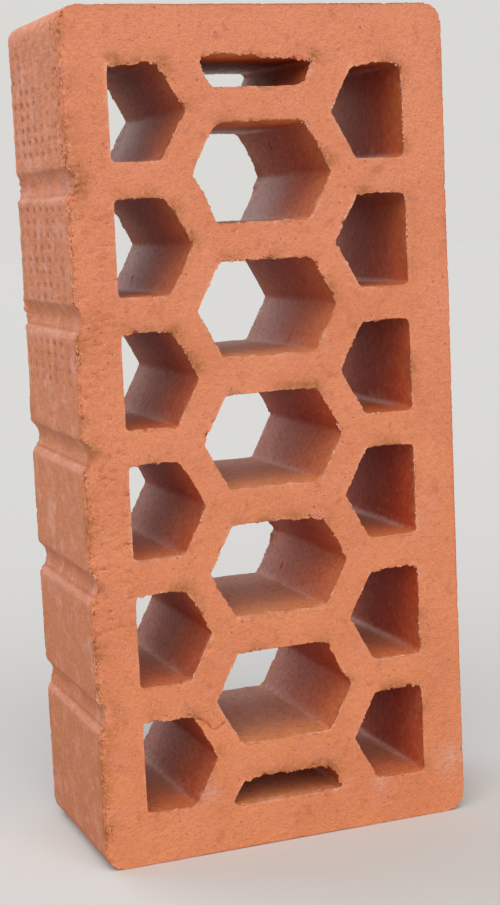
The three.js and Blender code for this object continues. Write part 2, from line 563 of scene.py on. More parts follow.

# %% [markdown]
# Some stretches were torn far more than the rest. At the upper end the wire broke clay
# out above a hexagon and above the slot. On the back it left thick lips in the points of
# some holes, and plugs of clay in the ends of three grooves. The back edge of the grooved
# side lies a little further in, where the panels were pressed. Each stretch is listed,
# with the way its clay was pushed.

# %% Push the hardest torn stretches
TORN_STRETCHES = [
    # from (x, z) to (x, z), cut face, push (x, z), reach
    ((-11.0, 196.7), (11.5, 196.7), -1, (0.0, 1.0), 1.9),
    ((-14.5, 213.8), (-2.0, 213.8), -1, (0.0, 1.1), 1.9),
    ((2.0, 213.8), (17.0, 213.8), -1, (0.0, -0.35), 1.6),
    ((14.8, 212.0), (12.6, 207.6), -1, (-1.1, 0.4), 1.8),
    ((-19.5, 184.0), (-15.5, 176.5), -1, (0.6, 0.3), 1.6),
    ((-26.5, 212.0), (-22.0, 204.0), -1, (-0.6, -0.35), 1.6),
    ((-22.0, 197.0), (-27.0, 188.9), -1, (-0.5, 0.3), 1.5),
    ((-39.5, 213.4), (-33.5, 213.4), -1, (0.0, -0.5), 1.5),
    ((-35.0, 39.6), (-28.5, 39.6), -1, (0.0, -0.7), 1.5),
    ((5.0, 90.3), (12.5, 90.3), -1, (0.0, -0.6), 1.5),
    ((14.8, 52.5), (18.8, 45.0), -1, (-0.7, -0.35), 1.5),
    ((28.0, 212.2), (31.0, 212.2), -1, (0.2, -0.7), 1.5),
    ((-22.0, 198.0), (-26.5, 190.0), 1, (-0.5, 0.2), 1.8),
    ((19.0, 186.0), (19.0, 182.0), 1, (-0.9, 0.0), 2.0),
    ((19.0, 79.8), (19.0, 75.8), 1, (-0.9, 0.0), 2.0),
    # plugs in the grooves
    ((-51.9, 183.8), (-51.9, 182.8), 1, (-0.8, 0.0), 2.6),
    ((-51.9, 149.4), (-51.9, 147.6), 1, (-1.5, 0.0), 2.8),
    ((-51.9, 42.4), (-51.9, 41.4), 1, (-0.7, 0.0), 1.8),
    # the pressed panels' back edges
    ((-54.0, 126.0), (-54.0, 143.0), 1, (0.35, 0.0), 1.6),
    ((-54.0, 154.0), (-54.0, 178.0), 1, (0.35, 0.0), 1.6),
    ((-54.0, 189.0), (-54.0, 222.0), 1, (0.4, 0.0), 1.6),
]
TORN_DEPTHS = {-1: 1.5, 1: 2.4}  # behind the front cut face, and behind the back one

flat_spot = points[near][:, [0, 2]]
torn_gaps = 1 + 0.5 * short_wave + 0.3 * grit_wave
for start, end, face_side, push, reach in TORN_STRETCHES:
    start, run = np.array(start), np.subtract(end, start)
    share = np.clip((flat_spot - start) @ run / (run @ run), 0, 1)
    gap = np.linalg.norm(flat_spot - start - share[:, None] * run, axis=1)
    pushed = fade(gap, reach)
    pushed *= fade(rim_depth, TORN_DEPTHS[face_side])
    pushed *= (side[near] == face_side) * torn_gaps
    moved[near, 0] += push[0] * pushed
    moved[near, 2] += push[1] * pushed
print("torn stretches:", len(TORN_STRETCHES))

# %% [markdown]
# The grooved side's front edge is a strip of rubble, as wide as a pencil near the upper
# end and thin lower down. The skin came off there in small plates, which left a rough
# strip of little steps, a bit lower than the skin. Noise that is rounded to a few levels
# has just such steps.

# %% Crumble the grooved side's front edge
RUBBLE_ON_CUT = 2.2  # how far the rubble reaches onto the cut face
RUBBLE_PLATE, RUBBLE_GRIT, RUBBLE_DROP = 0.34, 0.22, 0.28
STEPS_PER_PLATE = 4


def rubble_share(at):
    """1 in the rubble on the grooved side's front edge, 0 on whole skin, ragged between."""
    reach = 1.4 + 1.8 * ramp(at[:, 2], 148, 176) + 4.4 * ramp(at[:, 2], 182, 204)
    reach *= 1 + 0.5 * uneven(at * (0, 0, 1), 7.0, 23)
    ragged = 0.45 * uneven(at, 2.2, 28)
    along_skin = (at[:, 1] + half_height) / reach + ragged
    along_cut = (at[:, 0] + half_width) / RUBBLE_ON_CUT + ragged
    return 1 - ramp(np.maximum(along_skin, along_cut), 0.75, 1.1)


arris = np.flatnonzero((points[:, 0] < 5 - half_width) & (points[:, 1] < 13 - half_height))
arris_points = points[arris]
plates = uneven(arris_points * (1, 0.7, 1), 2.0, 21)
plates = np.round(STEPS_PER_PLATE * plates) / STEPS_PER_PLATE
rubble = RUBBLE_PLATE * plates + RUBBLE_GRIT * uneven(arris_points, 0.8, 22) - RUBBLE_DROP
broken = rubble_share(arris_points)
moved[arris] += normals[arris] * (broken * rubble)[:, None]
print("rubble points:", int((broken > 0.5).sum()))

# %% [markdown]
# ### The cut faces
# A wire leaves a fine torn grain, and pulls out the odd grit, which leaves a pit. On the
# strip between the grooved edge and the first holes the clay was too dry, and short level
# tears opened. A bumpy texture could do the pits too, but dents from a seeded generator
# can be kept in a list, and the same dents can get painted shade later.

# %% Make and press dents
def dents(count, low, high, half_sizes, depths, tilt=0.15):
    """Random oval dents in a rectangle of a cut face: centre, half sizes, angle, depth."""
    return np.column_stack(
        [
            chance.uniform(low[0], high[0], count),
            chance.uniform(low[1], high[1], count),
            chance.uniform(*half_sizes[0], count),
            chance.uniform(*half_sizes[1], count),
            chance.normal(0, tilt, count),
            chance.uniform(*depths, count),
        ]
    )


def dented(at, dent_list):
    """How deep the dents reach at these points of a cut face, in mm."""
    x, z = at[:, 0], at[:, 2]
    deepness = np.zeros(len(at))
    for at_x, at_z, half_x, half_z, angle, deep in dent_list:
        reach = half_x + half_z
        box = (np.abs(x - at_x) < reach) & (np.abs(z - at_z) < reach)
        dx, dz = x[box] - at_x, z[box] - at_z
        u = (dx * math.cos(angle) + dz * math.sin(angle)) / half_x
        v = (dz * math.cos(angle) - dx * math.sin(angle)) / half_z
        deepness[box] += deep * np.clip(1 - u * u - v * v, 0, 1)
    return deepness


one_dent = [(0, 0, 1.0, 0.5, 0, 0.3)]
print("a dent is deepest in its middle:", dented(np.zeros((1, 3)), one_dent)[0], "mm")

# %% Grain, pits and tears on the cut faces
PITS = {"half_sizes": ((0.5, 1.1), (0.45, 0.6)), "depths": (0.12, 0.35), "tilt": 0.6}
SCRAPES = {"half_sizes": ((1.2, 3.0), (0.8, 1.8)), "depths": (0.08, 0.2)}
STRIP_TEARS = {"half_sizes": ((0.6, 2.2), (0.3, 0.45)), "depths": (0.15, 0.36)}
WHOLE_FACE = ((-half_width, 0), (half_width, length))
LEFT_STRIP = ((1 - half_width, 60), (12 - half_width, 200))
CUT_LOSS = 0.10  # the wire's grain lies this much below the plain solid

cut = np.flatnonzero(on_cut > 0.2)
grainy = 0.06 * uneven(points[cut], 1.4, 6) + 0.06 * uneven(points[cut], 4.5, 7)
moved[cut, 1] -= side[cut] * on_cut[cut] * (CUT_LOSS + grainy)
strip_tears = {}
for face_side in (-1, 1):
    pits = dents(130, *WHOLE_FACE, **PITS)
    scrapes = dents(26, *WHOLE_FACE, **SCRAPES)
    strip_tears[face_side] = dents(110, *LEFT_STRIP, **STRIP_TEARS)
    picked = cut[side[cut] == face_side]
    for dent_list in (np.concatenate([pits, scrapes]), strip_tears[face_side]):
        moved[picked, 1] -= face_side * dented(points[picked], dent_list)
print("cut face points:", len(cut))

# %% [markdown]
# ### The grooved skin
# Before the wire, a roller pressed small ovals into the upper panels of the grooved
# side, in rows across the brick. It ran slightly askew, so the deepest ones drift
# towards the front on the way down. Along each column it also left a faint band. A
# formula presses them, and not a cutter that is copied, because each oval has its own
# depth and sits a little off its place.

# %% Press the stipple
DIMPLE_PITCH = (6.85, 3.36)
DIMPLE_FIRST_Y = -18.6
LAST_COLUMN = 6
PANELS = [(131.1, 4), (153.4, 8), (191.75, 9)]  # the first row's height, and the rows
UPPER_PANEL_Z = 190
DIMPLE_HALF = (1.2, 0.76)
DIMPLE_OFF_PLACE = (0.4, 0.3)
DIMPLE_DEPTH = 0.62
DIMPLE_EDGE = 1.4  # a higher power gives an oval a steeper edge
BAND_DEPTH, BAND_HALF = 0.22, 1.5
DEEPEST_Y, DEEPEST_AT_Z, DEEPEST_DRIFT = 13, 205, 0.27


def stipple(at):
    """How deep the roller pressed at these points of the grooved skin, from 0 to 1."""
    y, z = at[:, 1], at[:, 2]
    column = np.round((y - DIMPLE_FIRST_Y) / DIMPLE_PITCH[0])
    off_y = y - DIMPLE_FIRST_Y - column * DIMPLE_PITCH[0]
    deepest = DEEPEST_Y - DEEPEST_DRIFT * (DEEPEST_AT_Z - z)
    askew = 0.45 + 0.55 * fade(y - deepest, 12.0)
    askew *= (column >= 0) & (column <= LAST_COLUMN)
    pressed = np.zeros(len(at))
    for first, rows in PANELS:
        row = np.round((z - first) / DIMPLE_PITCH[1])
        in_rows = (row >= 0) & (row < rows)
        cell = np.column_stack([column * 3.1, (first + row) * 3.7, column * row])
        strength = np.clip(0.85 + 0.9 * uneven(cell, 1.7, 9), 0.3, 1)
        strength *= in_rows
        off_z = z - first - row * DIMPLE_PITCH[1]
        off_z = off_z - DIMPLE_OFF_PLACE[1] * uneven(cell, 1.31, 8)
        u = (off_y - DIMPLE_OFF_PLACE[0] * uneven(cell, 1.31, 10)) / DIMPLE_HALF[0]
        v = off_z / DIMPLE_HALF[1]
        pressed += strength * np.exp(-(u * u + v * v) ** DIMPLE_EDGE)
        pressed *= 1 - 0.2 * (first < UPPER_PANEL_Z) * in_rows
        last = first + (rows - 1) * DIMPLE_PITCH[1]
        in_panel = ramp(z, first - 2, first) * (1 - ramp(z, last, last + 2))
        pressed += BAND_DEPTH * in_panel * fade(off_y, BAND_HALF)
    return np.clip(askew * pressed * (1 - 0.5 * ramp(z, 206, 216)), 0, 1)


skin = np.flatnonzero((normals[:, 0] < SKIN_TILT) & (points[:, 0] < SKIN_DEEPEST))
skin_points = points[skin]
flat_skin = normals[skin, 0] < -0.7
dimples = stipple(skin_points) * flat_skin
moved[skin, 0] += DIMPLE_DEPTH * dimples
print("stipple: deepest", round(float(DIMPLE_DEPTH * dimples.max()), 2))

# %% [markdown]
# The die's steel dragged the whole skin a little, and the upper half more, so it is
# faintly lumpy between the dimples. Two noises do that, and one is drawn out the way the
# skin slid. The back edge stayed smooth.

# %% Drag the skin
DRAG = 0.05
BACK_EDGE = (18, 25)  # the skin gets calm between these two depths through the brick

dragged = uneven(skin_points * (1, 0.6, 1), 1.6, 32) + uneven(skin_points, 4.0, 33)
calm = ramp(skin_points[:, 1], *BACK_EDGE)
dragged *= (0.6 + 0.7 * ramp(skin_points[:, 2], 120, 160)) * (1 - calm)
moved[skin, 0] += DRAG * (1 + dragged)
print("dragged skin points:", len(skin))

# %% [markdown]
# The rib of the die that makes a groove wears, and drags the clay below it. So each
# groove has a fine crease near its lower edge, and below the crease the edge is
# rounder than the upper one.

# %% Crease the grooves and round their lower edge
CREASE_AT, CREASE_DEPTH, CREASE_HALF = -2.8, 0.28, 0.3
LOWER_EDGE_AT, LOWER_EDGE_DROP, LOWER_EDGE_HALF = -4.3, 0.22, 0.6

height_in_groove = from_groove(skin_points[:, 2])
worn = np.clip(0.75 + 0.8 * uneven(skin_points, 14.0, 24), 0.2, 1.2)
worn *= 1 - 0.6 * ramp(skin_points[:, 2], 130, 175)
crease = fade(height_in_groove - CREASE_AT, CREASE_HALF)
lower_edge = fade(height_in_groove - LOWER_EDGE_AT, LOWER_EDGE_HALF)
moved[skin, 0] += worn * (CREASE_DEPTH * crease + LOWER_EDGE_DROP * lower_edge)
print("creased points:", int((worn * crease > 0.3).sum()))

# %% [markdown]
# ### The hole walls
# The clay slid along the die's cores in small jerks, so the walls of the holes are a
# little wavy: a coarse noise makes the waves, and a fine one drawn out upright the jerks.
# A grit caught between clay and core left a nick here and there, and one short drying
# crack runs beside the lowest hole.

# %% Wave the hole walls and cut the nicks
NICK_DEPTH, NICK_HALF = 0.4, 0.3
WALLS_FROM_MIDDLE = 46  # the hole walls are all nearer to the middle than this

in_holes = np.flatnonzero(
    (np.abs(normals[:, 1]) < 0.5) & (np.abs(points[:, 0]) < WALLS_FROM_MIDDLE)
)
wall_points = points[in_holes]
wall_waves = 0.10 * uneven(wall_points * (1, 0.8, 1), 5.5, 26)
wall_waves += 0.04 * uneven(wall_points * (1, 1, 0.3), 2.4, 25)
moved[in_holes] += normals[in_holes] * wall_waves[:, None]
nicked = NICK_DEPTH * fade(nick_gap(points), NICK_HALF)
moved -= normals * nicked[:, None]
print("hole wall points:", len(in_holes), "nicked:", int((nicked > 0.1).sum()))

# %% [markdown]
# ### The whole skin
# Last, everything waves a little, as clay does that was pushed, cut, dried and fired. The
# wave only ever takes clay away, so the brick still fits its own box, and touches it
# where the wave is highest. The grooved skin's back edge stayed straight, so it waves less.

# %% Wave the whole skin and write it back
SLOW_LOSS, QUICK_LOSS = 0.22, 0.07

slow = np.clip(0.5 + 0.75 * uneven(points, 38.0, 11), 0, 1)
quick = uneven(points, 11.0, 12)
wave = -SLOW_LOSS * (1 - slow) - QUICK_LOSS * (1 - quick)
back_edge = (points[:, 0] < SKIN_DEEPEST) * ramp(points[:, 1], *BACK_EDGE)
moved += normals * (wave * (1 - 0.6 * back_edge))[:, None]

low_corner = np.array(cad_low) / MM
high_corner = np.array(cad_high) / MM
finished = np.clip(points + moved, low_corner, high_corner)
brick.data.vertices.foreach_set("co", (finished * MM).ravel())
brick.data.update()
print("box now", finished.min(0).round(2), finished.max(0).round(2))

# %% [markdown]
# ## A lighter mesh
# The remesh gave the smooth hole walls far more faces than they need. Decimate by
# collapse takes faces away where the skin is flat and keeps them where it is torn.
# Un-Subdivide would thin it all alike and blunt the torn rims.

# %% Thin the mesh
AIMED_AT_TRIANGLES = 192000  # it ends up to 1% higher, and has to stay below 200,000
SHARP_FROM_DEGREES = 50

ratio = AIMED_AT_TRIANGLES / (2 * len(brick.data.polygons))
apply_modifier(brick, "DECIMATE", ratio=ratio)
select_only(brick)
bpy.ops.object.shade_smooth_by_angle(angle=math.radians(SHARP_FROM_DEGREES))
print("thinned to", sum(len(f.vertices) - 2 for f in brick.data.polygons), "triangles")

# %% [markdown]
# ## Where the clay was marked
# Some marks change colour as well as shape. They could be painted by hand, which needs
# the whole brick unfolded flat. An attribute needs no unfolding: it holds one number from
# 0 to 1 at every point, there is one for each mark, and the material reads them. First
# each point looks up its rim again, because the thinned mesh has new points.

# %% Read the thinned skin
points = read_points(brick.data)
normals = read_normals(brick.data)
x, y, z = points.T
depth = half_height - np.abs(y)
rim_index, rim_distance = nearest_rim(points)
out_x, out_z = rim_outwards[rim_index].T
leaving = rim_exit[rim_index]
is_outline = rim_is_outline[rim_index]
at_grooved_side = is_outline & (out_x < -0.7)
on_skin = (normals[:, 0] < SKIN_TILT) & (x < SKIN_DEEPEST)
inside = ~is_outline & (depth > 0.3) & (np.abs(x) < WALLS_FROM_MIDDLE)
in_middle_column = np.abs(x) < 20
groove_height = from_groove(z)
print("thinned skin:", len(points), "points")

# %% [markdown]
# The wire's drag brings up ochre fines round the burrs, on the ragged edge and at the
# grooves' ends: that is the smear. Above the rims that the wire left it is partly painted
# shade, where the face rolls into the hole. Rims that the wire entered get a painted
# highlight, a pale line where their edge catches the light, and the back edge of the
# grooved side is worn pale. A little chalk rubbed off on the front face in three places.

# %% Mark what the wire and the handling left
CHALK_SPOTS = [((50.0, 15.5), 4.0), ((-22.9, 17.3), 2.4), ((27.4, 11.6), 2.0)]
FRONT_SKIN = 1  # how deep the chalk may lie behind the front face


def write_layer(thing, name, values):
    """Gives a piece an attribute with this name, and one value for each point."""
    layer = thing.data.attributes.new(name, "FLOAT", "POINT")
    layer.data.foreach_set("value", np.clip(values, 0, 1).astype(np.float32))
    print(name, "on", int((values > 0.3).sum()), "points")


# Above the rims that the wire left, the smear is partly painted shade, where the face rolls into
# the hole.
smear_and_shade_patches = np.clip(0.3 + 1.9 * uneven(points, 6.0, 13), 0, 1)
above_hole = leaving * ~is_outline * fade(rim_distance, 2.4)
at_arris = at_grooved_side * fade(rim_distance, 2.5, 1)
at_groove = fade(groove_height, 4) * (1 - ramp(x, -50.5, -46.5))
smear = (1.8 * above_hole + 1.5 * at_arris + 0.8 * at_groove) * smear_and_shade_patches
write_layer(brick, "smear", smear * fade(depth, 1.5, 1))

# Painted highlight: a pale line along the rims that the wire entered. The grooved side's back
# edge is worn pale.
entering = (1 - leaving) * ~is_outline * (depth < 1.0)
highlight_and_wear = entering * fade(rim_distance, 0.5)
highlight_and_wear += 1.1 * (at_grooved_side & (y > 0)) * fade(depth, 0.7, 1)
highlight_and_wear_patches = np.clip(0.2 + 1.6 * uneven(points, 4.0, 27), 0, 1)
write_layer(brick, "worn", highlight_and_wear * highlight_and_wear_patches)

chalky = np.zeros(len(points))
for (at_x, at_z), reach in CHALK_SPOTS:
    chalky += fade(np.hypot(x - at_x, z - at_z), reach)
write_layer(brick, "chalk", chalky * (y < FRONT_SKIN - half_height))

# %% [markdown]
# Dimples, creases, nicks and the dry strip's tears get painted shade: they are darker in
# colour, as shade falls in them. The lower lip of a groove gets a painted highlight, a pale
# band where its rounded edge faces the light, and rubble shows the orange inside of the clay.

# %% Mark the dents, lips and rubble
TEARS_SEEN = 1.5

crease = fade(groove_height - CREASE_AT, 0.35)
nicked = fade(nick_gap(points), 0.4)
torn_strip = np.zeros(len(points))
for face_side, dent_list in strip_tears.items():
    picked = np.flatnonzero((np.sign(y) == face_side) & (depth < 1))
    torn_strip[picked] = TEARS_SEEN * dented(points[picked], dent_list)
torn_strip *= 1 - 0.5 * ramp(z, 140, 165)
# Painted shade: darker colour in the dimples, creases, nicks and tears.
dirt = on_skin * (stipple(points) + 0.5 * crease) + 0.7 * nicked + torn_strip
write_layer(brick, "dirt", dirt)
# Painted highlight on each groove's rounded lower lip.
write_layer(brick, "lip", on_skin * fade(groove_height - LOWER_EDGE_AT, 0.9))
write_layer(brick, "broken", rubble_share(points))

# %% [markdown]
# Inside the holes, faces that look up get a painted sky light, a paler colour where light
# from above falls. The fold at the foot of a hole gets a painted highlight: a pale line
# where its rounded corner catches the light. A flat floor is a ledge, and the middle
# column's ledges get more painted light, the low side holes' a little, less towards the
# back. The highest ceilings get a painted reflection near the back, of the light that
# reaches them from behind.

# %% Mark the dust in the holes
# Painted sky light: faces in the holes that look up are paler.
write_layer(brick, "dust", inside * ramp(normals[:, 2], 0.1, 0.6))

# The fold gets a painted highlight, a pale line along its rounded corner.
is_fold = rim_is_arc & ~rim_is_outline & (rim_outwards[:, 0] < -0.3)
is_fold &= rim_outwards[:, 1] > 0.5
fold_gap = np.full(len(points), FAR_AWAY)
for spot in rim_points[is_fold]:
    fold_gap = np.minimum(fold_gap, np.hypot(*(points[:, [0, 2]] - spot).T))
fold_highlight_line = fade(fold_gap, 0.75) * ramp(y, -24, -8)
fold_highlight_share = np.where(x > 20, 1.0, np.where(x < -20, 0.8, 0.5))
write_layer(brick, "fold", inside * fold_highlight_line * fold_highlight_share)

ledges = inside * ramp(normals[:, 2], 0.7, 0.9)
write_layer(brick, "ledge", ledges)
# Painted light on the ledges: most in the middle column, less towards the back.
silt = np.where(in_middle_column, 1.0, 0.35 * (1 - ramp(z, 90, 110)))
write_layer(brick, "silt", ledges * silt * (1 - 0.35 * ramp(y, -4, 20)))

# Painted reflection on the highest ceilings, stronger towards the back.
ceiling = inside * in_middle_column * (z > 190) * (0.6 + 0.4 * (z > 205))
write_layer(brick, "bloom", ceiling * ramp(-normals[:, 2], 0.5, 0.9) * ramp(y, -8, 14))

# %% [markdown]
# ## Loose crumbs
# The wire also left crumbs that only cling to the brick: pale slivers on the edges where
# it entered the clay, brown ones on the edges that it tore, and a scatter on the rubble,
# on the dry strip and where it dragged clay above a hole. They are thinner than a voxel,
# and a remesh would lose them, so they stay grains of their own, in a piece of their own.
# First come the places where crumbs cling, each with how many there are and what they
# are like.

# %% Find where crumbs cling
EDGE_CRUMBS = [
    # share of the wire's way out, count, half length, half thickness, chance to be pale
    ((-0.1, 0.2), 800, (0.15, 0.6), (0.07, 0.13), 0.9),
    ((0.2, 0.7), 420, (0.12, 0.4), (0.08, 0.15), 0.75),
    ((0.7, 1.1), 700, (0.15, 0.5), (0.09, 0.19), 0.35),
]
EDGE_REACH = 0.9

clumping = np.clip(0.25 + 1.5 * uneven(points, 5.0, 31), 0.02, 1) ** 2
on_edge = (depth < 1.0) & (np.abs(normals[:, 1]) < 0.93) & (np.abs(normals[:, 1]) > 0.1)
on_edge &= ~is_outline & (rim_distance < EDGE_REACH) & (out_x < 0.9)
on_face = (np.abs(normals[:, 1]) > 0.9) & (depth < 0.8) & (y < 0)
above_holes = on_face & ~is_outline & (leaving > 0.7) & (rim_distance < 1.8)
in_strip = on_face & (x < 11 - half_width) & (z > 60) & (z < 205)
FACE_CRUMBS = [
    # where, count, half length, half thickness, chance to be pale, how pale at most
    (rubble_share(points) > 0.5, 700, (0.15, 0.6), (0.07, 0.19), 0.6, 0.62),
    (above_holes, 420, (0.15, 0.5), (0.08, 0.16), 0.3, 0.7),
    (in_strip, 190, (0.15, 0.55), (0.07, 0.15), 0.6, 0.7),
]
print("crumbs may cling to", int(on_edge.sum()), "points of the edges")

# %% [markdown]
# Each crumb is seated on a random point of the finished skin, lies along the nearest rim,
# and is sunk into the clay by two thirds. Noise draws the crumbs together into clumps.

# %% Seat the loose crumbs
BACK_SHARE = 0.3
CRUMB_SPREAD = 0.15


def seat(allowed, count, run_range, thick_range, pale_chance, palest=1.0):
    """Crumbs on randomly chosen allowed points: their grains, and how pale each one is."""
    allowed = np.flatnonzero(allowed)
    odds = clumping[allowed] / clumping[allowed].sum()
    chosen = chance.choice(allowed, count, p=odds)
    out, along = ways_at(rim_index[chosen])
    run = chance.uniform(*run_range, count)
    thick = chance.uniform(*thick_range, count)
    spread = chance.normal(0, CRUMB_SPREAD, (count, 3))
    centres = points[chosen] - normals[chosen] * thick[:, None] / 3
    centres += along * spread[:, :1]
    sizes = np.column_stack([run, thick, thick])
    paleness = palest * chance.uniform(0.4, 1, count)
    pale = np.where(chance.random(count) < pale_chance, paleness, 0)
    return grains_at(centres, along, out, sizes), pale


seated = []
for (least, most), count, *kind in EDGE_CRUMBS:
    here = on_edge & (leaving >= least) & (leaving < most)
    seated.append(seat(here & (y < 0), count, *kind))
    seated.append(seat(here & (y > 0), int(BACK_SHARE * count), *kind))
seated += [seat(*kind) for kind in FACE_CRUMBS]
crumb_grains = [np.clip(g, low_corner, high_corner) for grains, _ in seated for g in grains]
crumbs = join_grains("rim_crumbs", crumb_grains)
paleness = np.repeat(np.concatenate([pale for _, pale in seated]), len(grain_points))
write_layer(crumbs, "pale_crumb", paleness)
write_layer(crumbs, "brown_crumb", paleness == 0)
print(len(crumb_grains), "crumbs,", len(crumbs.data.polygons), "faces")

# %% [markdown]
# ## Shader arithmetic
# A clay's colour is a sum of many small things, and nodes for sums are tedious to wire
# by hand. A Value wraps one output socket, and can be added and multiplied like a number:
# each sum that is written adds one Math node.

# %% Do sums with sockets
class Value:
    """One output socket of a recipe, usable in arithmetic."""

    def __init__(self, recipe, socket):
        self.recipe = recipe
        self.socket = socket

    def math(self, operation, *inputs):
        return self.recipe.make(
            "ShaderNodeMath", {"operation": operation}, dict(enumerate(inputs))
        )

    def beside(self, output):
        """Another output of the same node."""
        return Value(self.recipe, self.socket.node.outputs[output])

    def __add__(self, other):
        return self.math("ADD", self, other)

    def __sub__(self, other):
        return self.math("SUBTRACT", self, other)

    def __rsub__(self, other):
        return self.math("SUBTRACT", other, self)

    def __mul__(self, other):
        return self.math("MULTIPLY", self, other)

    def __abs__(self):
        return self.math("ABSOLUTE", self)

    __radd__ = __add__
    __rmul__ = __mul__


print("a value can be on either side of +, - and *")

# %% [markdown]
# Any other node comes from one call: its type, its settings, then its inputs, which are
# plain values or links from other nodes.

# %% Make any node in one call
class Tree:
    """The node tree of a material or a world, emptied and ready to be filled."""

    def __init__(self, owner):
        owner.use_nodes = True
        self.tree = owner.node_tree
        self.tree.nodes.clear()

    def make(self, kind, settings=None, inputs=None, output=0):
        """Adds a node of this kind: its settings go in first, then its inputs."""
        node = self.tree.nodes.new(kind)
        for name, value in (settings or {}).items():
            if name == "stops":
                self.set_stops(node.color_ramp, value)
            else:
                setattr(node, name, value)
        for name, value in (inputs or {}).items():
            if isinstance(value, Value):
                self.tree.links.new(value.socket, node.inputs[name])
            else:
                node.inputs[name].default_value = value
        return Value(self, node.outputs[output]) if len(node.outputs) else node

    def set_stops(self, ramp_data, stops):
        """Puts a colour at each of these places of a colour ramp."""
        while len(ramp_data.elements) < len(stops):
            ramp_data.elements.new(0.5)
        for element, (place, tint) in zip(ramp_data.elements, stops):
            element.position = place
            element.color = tint


print("a tree can", ", ".join(n for n in vars(Tree) if not n.startswith("_")))

# %% [markdown]
# The nodes that clay needs again and again get names from the workshop: colours are
# blended and laid, a mask rises where a value does, and noise comes in lumps.

# %% Name what clay needs
MIX_FIRST, MIX_SECOND, MIX_RESULT = 6, 7, 2  # the Mix node's sockets for colours


class Recipe(Tree):
    """A tree with names for the nodes that clay needs."""

    def blend(self, amount, first, second, mode="MIX"):
        """Mixes two colours, or multiplies them."""
        return self.make(
            "ShaderNodeMix",
            {"data_type": "RGBA", "blend_type": mode},
            {0: amount, MIX_FIRST: first, MIX_SECOND: second},
            output=MIX_RESULT,
        )

    def lay(self, under, layers):
        """Lays colours on one another, each with the share that tells where it lies."""
        for share, tint in layers:
            under = self.blend(share, under, colour(*tint))
        return under

    def rise(self, value, low, high):
        """0 below low, 1 above high, and smooth between."""
        return self.make(
            "ShaderNodeMapRange",
            {"interpolation_type": "SMOOTHSTEP"},
            {"Value": value, "From Min": low, "From Max": high},
        )

    def climb(self, value, low, high):
        """0 below low, 1 above high, and straight between."""
        return self.make(
            "ShaderNodeMapRange", None, {"Value": value, "From Min": low, "From Max": high}
        )

    def lumps(self, place, size, detail=2.0, roughness=0.5):
        """Soft noise around 0.5 with lumps of about this size."""
        return self.make(
            "ShaderNodeTexNoise",
            None,
            {"Vector": place, "Scale": 1 / size, "Detail": detail, "Roughness": roughness},
        )

    def stretched(self, place, factors):
        """A place whose pattern is drawn out: a smaller factor makes longer lumps."""
        return self.make(
            "ShaderNodeVectorMath", {"operation": "MULTIPLY"}, {0: place, 1: factors}
        )

    def seen_ray(self):
        """1 for what the camera sees directly or mirrored, 0 for light that bounces."""
        ray = self.make("ShaderNodeLightPath", output="Is Camera Ray")
        seen = ray.math("MAXIMUM", ray, ray.beside("Is Glossy Ray"))
        return ray.math("MAXIMUM", seen, ray.beside("Is Transmission Ray"))


def colour(red, green, blue):
    """A colour given as on a screen, 0 to 255, as the linear values that Blender wants."""
    parts = [c / 255 for c in (red, green, blue)]
    linear = [c / 12.92 if c < 0.04045 else ((c + 0.055) / 1.055) ** 2.4 for c in parts]
    return (*linear, 1.0)


print("middle grey on a screen is", round(colour(128, 128, 128)[0], 3), "in a shader")

# %% [markdown]
# ## The fired clay
# Everything that the clay does is read from a point's place in millimetres and from its
# marks. Two masks tell the surfaces apart: how near a point is to a cut face, with a torn
# limit, and whether it is on a hole's wall.

# %% Tell the surfaces apart
CUT_LIMIT = (26.5, 27.0)
HOLES_END_X = (44, 46)
HOLES_END_Z = (103, 105)

fired_clay = bpy.data.materials.new("fired_clay")
clay = Recipe(fired_clay)
metres = clay.make("ShaderNodeTexCoord", output="Object")
place = clay.make(
    "ShaderNodeVectorMath", {"operation": "SCALE"}, {0: metres, "Scale": 1 / MM}
)
across = clay.make("ShaderNodeSeparateXYZ", None, {0: place})
through, upright = across.beside("Y"), across.beside("Z")
off_centre = abs(across)
cut_face = clay.rise(abs(through) + clay.lumps(place, 2.0) * 0.9, *CUT_LIMIT)
hole_wall = 1 - clay.rise(off_centre, *HOLES_END_X)
hole_wall = hole_wall * (1 - clay.rise(abs(upright - length / 2), *HOLES_END_Z))


def tell(step):
    """Prints which step of the clay is done."""
    print(step, "made,", len(clay.tree.nodes), "nodes so far")


tell("masks")

# %% [markdown]
# ### Inside the holes
# The walls go from orange at the front to a dull mauve further in. That is partly the
# clay's pinker skin and partly painted light: warm light that bounces in at the mouth, and
# cool light from the back further in. A painted sky light pales whatever looks up. Two
# colour ramps run along the depth, a shaded one for walls that face sideways or down and a
# sky-lit one for walls that look up, and the sky light mask mixes them. The lower holes
# stayed redder. The mouths of the low side holes are a deeper orange, and so are those
# beside the grooved face, where it is painted shade that their left wall would cast.

# %% Colour the hole walls
# Two ramps along the depth, partly painted light: a shaded one for walls that face sideways or
# down, and a paler sky-lit one for walls that look up.
SHADED_WALL = [
    (0.0, colour(205, 103, 48)),
    (0.3, colour(182, 79, 40)),
    (0.6, colour(174, 82, 57)),
    (1.0, colour(169, 103, 86)),
]
SKY_LIT_WALL = [
    (0.0, colour(206, 114, 60)),
    (0.3, colour(193, 102, 61)),
    (0.6, colour(184, 112, 90)),
    (1.0, colour(195, 144, 131)),
]
LOW_HOLE_TINT = (1.0, 0.59, 0.57, 1.0)
LOW_MOUTH_TINT = (0.97, 0.76, 0.55, 1.0)


def mark(name):
    """How strong a mark is, read from the attribute of that name."""
    return clay.make("ShaderNodeAttribute", {"attribute_name": name}, output="Fac")


